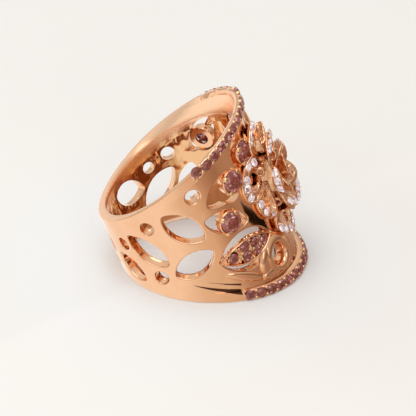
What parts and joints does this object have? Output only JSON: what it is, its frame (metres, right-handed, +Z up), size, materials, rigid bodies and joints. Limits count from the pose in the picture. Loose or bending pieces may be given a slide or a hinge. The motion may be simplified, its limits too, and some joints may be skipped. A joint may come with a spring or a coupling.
{
  "type": "cocktail ring",
  "caption": "Wide openwork band ring with slanted rims, a rose of standing petals on its head, claw-set brown stones and pave-set rails.",
  "frame": {"origin": "centre of the finger hole, on the finger axis half way between the two rims", "axes": "+Z up as the ring stands on its lower rim, +X towards the rose, -Y the left side; the finger axis leans 20.7 degrees from +Z towards -X"},
  "size_m": [0.0241, 0.0202, 0.0209],
  "materials": {
    "rose_gold": "polished",
    "brown_stone": "polished",
    "white_stone": "polished"
  },
  "bodies": {
    "root": {"band": "rose_gold", "inner_petal_1": "rose_gold", "inner_petal_2": "rose_gold", "inner_petal_3": "rose_gold", "leaf_plate": "rose_gold", "leaf_plate_stones": "brown_stone", "left_brown_stone_1": "brown_stone", "left_brown_stone_2": "brown_stone", "left_brown_stone_3": "brown_stone", "left_collet_1": "rose_gold", "left_collet_2": "rose_gold", "left_collet_3": "rose_gold", "left_eyelet": "rose_gold", "lower_rail_inlay": "rose_gold", "lower_rail_stones": "brown_stone", "middle_petal_1": "rose_gold", "middle_petal_1_stones": "white_stone", "middle_petal_2": "rose_gold", "middle_petal_2_stones": "white_stone", "middle_petal_3": "rose_gold", "middle_petal_3_stones": "white_stone", "middle_petal_4": "rose_gold", "middle_petal_4_stones": "white_stone", "middle_petal_5": "rose_gold", "middle_petal_5_stones": "white_stone", "outer_petal_1": "rose_gold", "outer_petal_1_stones": "white_stone", "outer_petal_2": "rose_gold", "outer_petal_2_stones": "white_stone", "outer_petal_3": "rose_gold", "outer_petal_3_stones": "white_stone", "outer_petal_4": "rose_gold", "outer_petal_4_stones": "white_stone", "outer_petal_5": "rose_gold", "outer_petal_5_stones": "white_stone", "outer_petal_6": "rose_gold", "outer_petal_6_stones": "white_stone", "right_brown_stone_1": "brown_stone", "right_brown_stone_2": "brown_stone", "right_brown_stone_3": "brown_stone", "right_brown_stone_4": "brown_stone", "right_collet_1": "rose_gold", "right_collet_2": "rose_gold", "right_collet_3": "rose_gold", "right_collet_4": "rose_gold", "right_eyelet": "rose_gold", "rose_base": "rose_gold", "rose_bud": "rose_gold", "upper_rail_inlay": "rose_gold", "upper_rail_stones": "brown_stone"}
  },
  "joints": []
}
